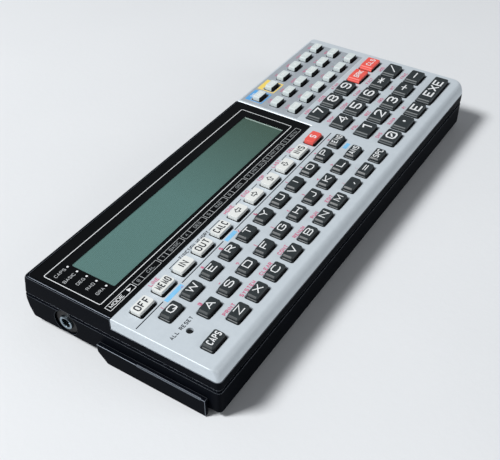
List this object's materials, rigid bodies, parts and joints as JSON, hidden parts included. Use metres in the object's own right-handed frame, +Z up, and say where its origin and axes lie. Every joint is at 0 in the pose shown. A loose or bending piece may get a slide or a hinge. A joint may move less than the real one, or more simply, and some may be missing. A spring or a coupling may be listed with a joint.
{
  "type": "pocket computer",
  "caption": "Slab-shaped pocket computer with a wide display, letter, number and function keys, a battery bay, a memory pack bay and a covered expansion connector.",
  "frame": {"origin": "under the middle of the whole object, on the surface that its feet stand on", "axes": "+X along the length towards the number keys, +Y from the user to the display, +Z up out of the keys"},
  "size_m": [0.1948, 0.08, 0.0232],
  "materials": {
    "black_case": "satin moulded",
    "silver_panel": "satin silver paint",
    "window": "polished, printed behind",
    "lcd": "grey-green display",
    "black_key": "satin",
    "white_key": "satin",
    "grey_key": "satin",
    "red_key": "satin",
    "rubber": "moulded silicone",
    "board": "lacquered board",
    "chip": "moulded",
    "steel": "nickel plated",
    "cell_jacket": "printed jacket"
  },
  "bodies": {
    "case": {"lower_case": "black_case", "upper_case": "black_case", "keyboard_panel": "silver_panel", "display_window": "window", "lcd_glass": "lcd", "lcd_holder": "chip", "key_mat": "rubber", "key_board": "board", "main_board": "board", "processor_chip": "chip", "memory_chip": "chip", "backup_cell": "steel", "sounder": "steel", "battery_cell_front_left": "cell_jacket", "battery_cell_front_right": "cell_jacket", "battery_cell_rear_left": "cell_jacket", "battery_cell_rear_right": "cell_jacket", "battery_contact_left": "steel", "battery_contact_right": "steel", "memory_pack": "chip", "memory_cover": "black_case", "power_jack": "chip", "expansion_connector": "chip"},
    "off_key": {"off_key": "white_key"},
    "memory_function_keys": {"memory_function_keys": "white_key"},
    "cursor_keys": {"cursor_keys": "white_key"},
    "insert_key": {"insert_key": "white_key"},
    "shift_key": {"shift_key": "red_key"},
    "upper_letter_keys": {"upper_letter_keys": "black_key"},
    "engineering_key": {"engineering_key": "black_key"},
    "middle_letter_keys": {"middle_letter_keys": "black_key"},
    "answer_key": {"answer_key": "black_key"},
    "lower_letter_keys": {"lower_letter_keys": "black_key"},
    "space_key": {"space_key": "black_key"},
    "caps_key": {"caps_key": "black_key"},
    "zero_key": {"zero_key": "black_key"},
    "point_key": {"point_key": "black_key"},
    "exponent_key": {"exponent_key": "black_key"},
    "execute_key": {"execute_key": "black_key"},
    "one_key": {"one_key": "black_key"},
    "two_key": {"two_key": "black_key"},
    "three_key": {"three_key": "black_key"},
    "plus_key": {"plus_key": "black_key"},
    "minus_key": {"minus_key": "black_key"},
    "four_key": {"four_key": "black_key"},
    "five_key": {"five_key": "black_key"},
    "six_key": {"six_key": "black_key"},
    "times_key": {"times_key": "black_key"},
    "divide_key": {"divide_key": "black_key"},
    "seven_key": {"seven_key": "black_key"},
    "eight_key": {"eight_key": "black_key"},
    "nine_key": {"nine_key": "black_key"},
    "clear_key": {"clear_key": "red_key"},
    "clear_all_key": {"clear_all_key": "red_key"},
    "function_keys_1": {"function_keys_1": "grey_key"},
    "function_keys_2": {"function_keys_2": "grey_key"},
    "function_keys_3": {"function_keys_3": "grey_key"},
    "reset_button": {"reset_button": "black_key"},
    "battery_door": {"battery_door": "black_case"},
    "connector_cover": {"connector_cover": "black_case"}
  },
  "joints": [
    {"name": "off_key_press", "type": "slide", "parent": "case", "child": "off_key", "axis": [0, 0, -1], "range_m": [0, 0.001], "stiffness_N_per_m": 300, "springref_m": -0.0005},
    {"name": "memory_function_keys_press", "type": "slide", "parent": "case", "child": "memory_function_keys", "axis": [0, 0, -1], "range_m": [0, 0.001], "stiffness_N_per_m": 300, "springref_m": -0.0005},
    {"name": "cursor_keys_press", "type": "slide", "parent": "case", "child": "cursor_keys", "axis": [0, 0, -1], "range_m": [0, 0.001], "stiffness_N_per_m": 300, "springref_m": -0.0005},
    {"name": "insert_key_press", "type": "slide", "parent": "case", "child": "insert_key", "axis": [0, 0, -1], "range_m": [0, 0.001], "stiffness_N_per_m": 300, "springref_m": -0.0005},
    {"name": "shift_key_press", "type": "slide", "parent": "case", "child": "shift_key", "axis": [0, 0, -1], "range_m": [0, 0.001], "stiffness_N_per_m": 300, "springref_m": -0.0005},
    {"name": "upper_letter_keys_press", "type": "slide", "parent": "case", "child": "upper_letter_keys", "axis": [0, 0, -1], "range_m": [0, 0.001], "stiffness_N_per_m": 300, "springref_m": -0.0005},
    {"name": "engineering_key_press", "type": "slide", "parent": "case", "child": "engineering_key", "axis": [0, 0, -1], "range_m": [0, 0.001], "stiffness_N_per_m": 300, "springref_m": -0.0005},
    {"name": "middle_letter_keys_press", "type": "slide", "parent": "case", "child": "middle_letter_keys", "axis": [0, 0, -1], "range_m": [0, 0.001], "stiffness_N_per_m": 300, "springref_m": -0.0005},
    {"name": "answer_key_press", "type": "slide", "parent": "case", "child": "answer_key", "axis": [0, 0, -1], "range_m": [0, 0.001], "stiffness_N_per_m": 300, "springref_m": -0.0005},
    {"name": "lower_letter_keys_press", "type": "slide", "parent": "case", "child": "lower_letter_keys", "axis": [0, 0, -1], "range_m": [0, 0.001], "stiffness_N_per_m": 300, "springref_m": -0.0005},
    {"name": "space_key_press", "type": "slide", "parent": "case", "child": "space_key", "axis": [0, 0, -1], "range_m": [0, 0.001], "stiffness_N_per_m": 300, "springref_m": -0.0005},
    {"name": "caps_key_press", "type": "slide", "parent": "case", "child": "caps_key", "axis": [0, 0, -1], "range_m": [0, 0.001], "stiffness_N_per_m": 300, "springref_m": -0.0005},
    {"name": "zero_key_press", "type": "slide", "parent": "case", "child": "zero_key", "axis": [0, 0, -1], "range_m": [0, 0.001], "stiffness_N_per_m": 300, "springref_m": -0.0005},
    {"name": "point_key_press", "type": "slide", "parent": "case", "child": "point_key", "axis": [0, 0, -1], "range_m": [0, 0.001], "stiffness_N_per_m": 300, "springref_m": -0.0005},
    {"name": "exponent_key_press", "type": "slide", "parent": "case", "child": "exponent_key", "axis": [0, 0, -1], "range_m": [0, 0.001], "stiffness_N_per_m": 300, "springref_m": -0.0005},
    {"name": "execute_key_press", "type": "slide", "parent": "case", "child": "execute_key", "axis": [0, 0, -1], "range_m": [0, 0.001], "stiffness_N_per_m": 300, "springref_m": -0.0005},
    {"name": "one_key_press", "type": "slide", "parent": "case", "child": "one_key", "axis": [0, 0, -1], "range_m": [0, 0.001], "stiffness_N_per_m": 300, "springref_m": -0.0005},
    {"name": "two_key_press", "type": "slide", "parent": "case", "child": "two_key", "axis": [0, 0, -1], "range_m": [0, 0.001], "stiffness_N_per_m": 300, "springref_m": -0.0005},
    {"name": "three_key_press", "type": "slide", "parent": "case", "child": "three_key", "axis": [0, 0, -1], "range_m": [0, 0.001], "stiffness_N_per_m": 300, "springref_m": -0.0005},
    {"name": "plus_key_press", "type": "slide", "parent": "case", "child": "plus_key", "axis": [0, 0, -1], "range_m": [0, 0.001], "stiffness_N_per_m": 300, "springref_m": -0.0005},
    {"name": "minus_key_press", "type": "slide", "parent": "case", "child": "minus_key", "axis": [0, 0, -1], "range_m": [0, 0.001], "stiffness_N_per_m": 300, "springref_m": -0.0005},
    {"name": "four_key_press", "type": "slide", "parent": "case", "child": "four_key", "axis": [0, 0, -1], "range_m": [0, 0.001], "stiffness_N_per_m": 300, "springref_m": -0.0005},
    {"name": "five_key_press", "type": "slide", "parent": "case", "child": "five_key", "axis": [0, 0, -1], "range_m": [0, 0.001], "stiffness_N_per_m": 300, "springref_m": -0.0005},
    {"name": "six_key_press", "type": "slide", "parent": "case", "child": "six_key", "axis": [0, 0, -1], "range_m": [0, 0.001], "stiffness_N_per_m": 300, "springref_m": -0.0005},
    {"name": "times_key_press", "type": "slide", "parent": "case", "child": "times_key", "axis": [0, 0, -1], "range_m": [0, 0.001], "stiffness_N_per_m": 300, "springref_m": -0.0005},
    {"name": "divide_key_press", "type": "slide", "parent": "case", "child": "divide_key", "axis": [0, 0, -1], "range_m": [0, 0.001], "stiffness_N_per_m": 300, "springref_m": -0.0005},
    {"name": "seven_key_press", "type": "slide", "parent": "case", "child": "seven_key", "axis": [0, 0, -1], "range_m": [0, 0.001], "stiffness_N_per_m": 300, "springref_m": -0.0005},
    {"name": "eight_key_press", "type": "slide", "parent": "case", "child": "eight_key", "axis": [0, 0, -1], "range_m": [0, 0.001], "stiffness_N_per_m": 300, "springref_m": -0.0005},
    {"name": "nine_key_press", "type": "slide", "parent": "case", "child": "nine_key", "axis": [0, 0, -1], "range_m": [0, 0.001], "stiffness_N_per_m": 300, "springref_m": -0.0005},
    {"name": "clear_key_press", "type": "slide", "parent": "case", "child": "clear_key", "axis": [0, 0, -1], "range_m": [0, 0.001], "stiffness_N_per_m": 300, "springref_m": -0.0005},
    {"name": "clear_all_key_press", "type": "slide", "parent": "case", "child": "clear_all_key", "axis": [0, 0, -1], "range_m": [0, 0.001], "stiffness_N_per_m": 300, "springref_m": -0.0005},
    {"name": "function_keys_1_press", "type": "slide", "parent": "case", "child": "function_keys_1", "axis": [0, 0, -1], "range_m": [0, 0.001], "stiffness_N_per_m": 300, "springref_m": -0.0005},
    {"name": "function_keys_2_press", "type": "slide", "parent": "case", "child": "function_keys_2", "axis": [0, 0, -1], "range_m": [0, 0.001], "stiffness_N_per_m": 300, "springref_m": -0.0005},
    {"name": "function_keys_3_press", "type": "slide", "parent": "case", "child": "function_keys_3", "axis": [0, 0, -1], "range_m": [0, 0.001], "stiffness_N_per_m": 300, "springref_m": -0.0005},
    {"name": "reset_press", "type": "slide", "parent": "case", "child": "reset_button", "axis": [0, 0, -1], "range_m": [0, 0.0005], "stiffness_N_per_m": 300, "springref_m": -0.0005},
    {"name": "battery_door_slide", "type": "slide", "parent": "case", "child": "battery_door", "axis": [0, 1, 0], "range_m": [0, 0.03]},
    {"name": "connector_cover_pull", "type": "slide", "parent": "case", "child": "connector_cover", "axis": [-1, 0, 0], "range_m": [0, 0.008]}
  ]
}
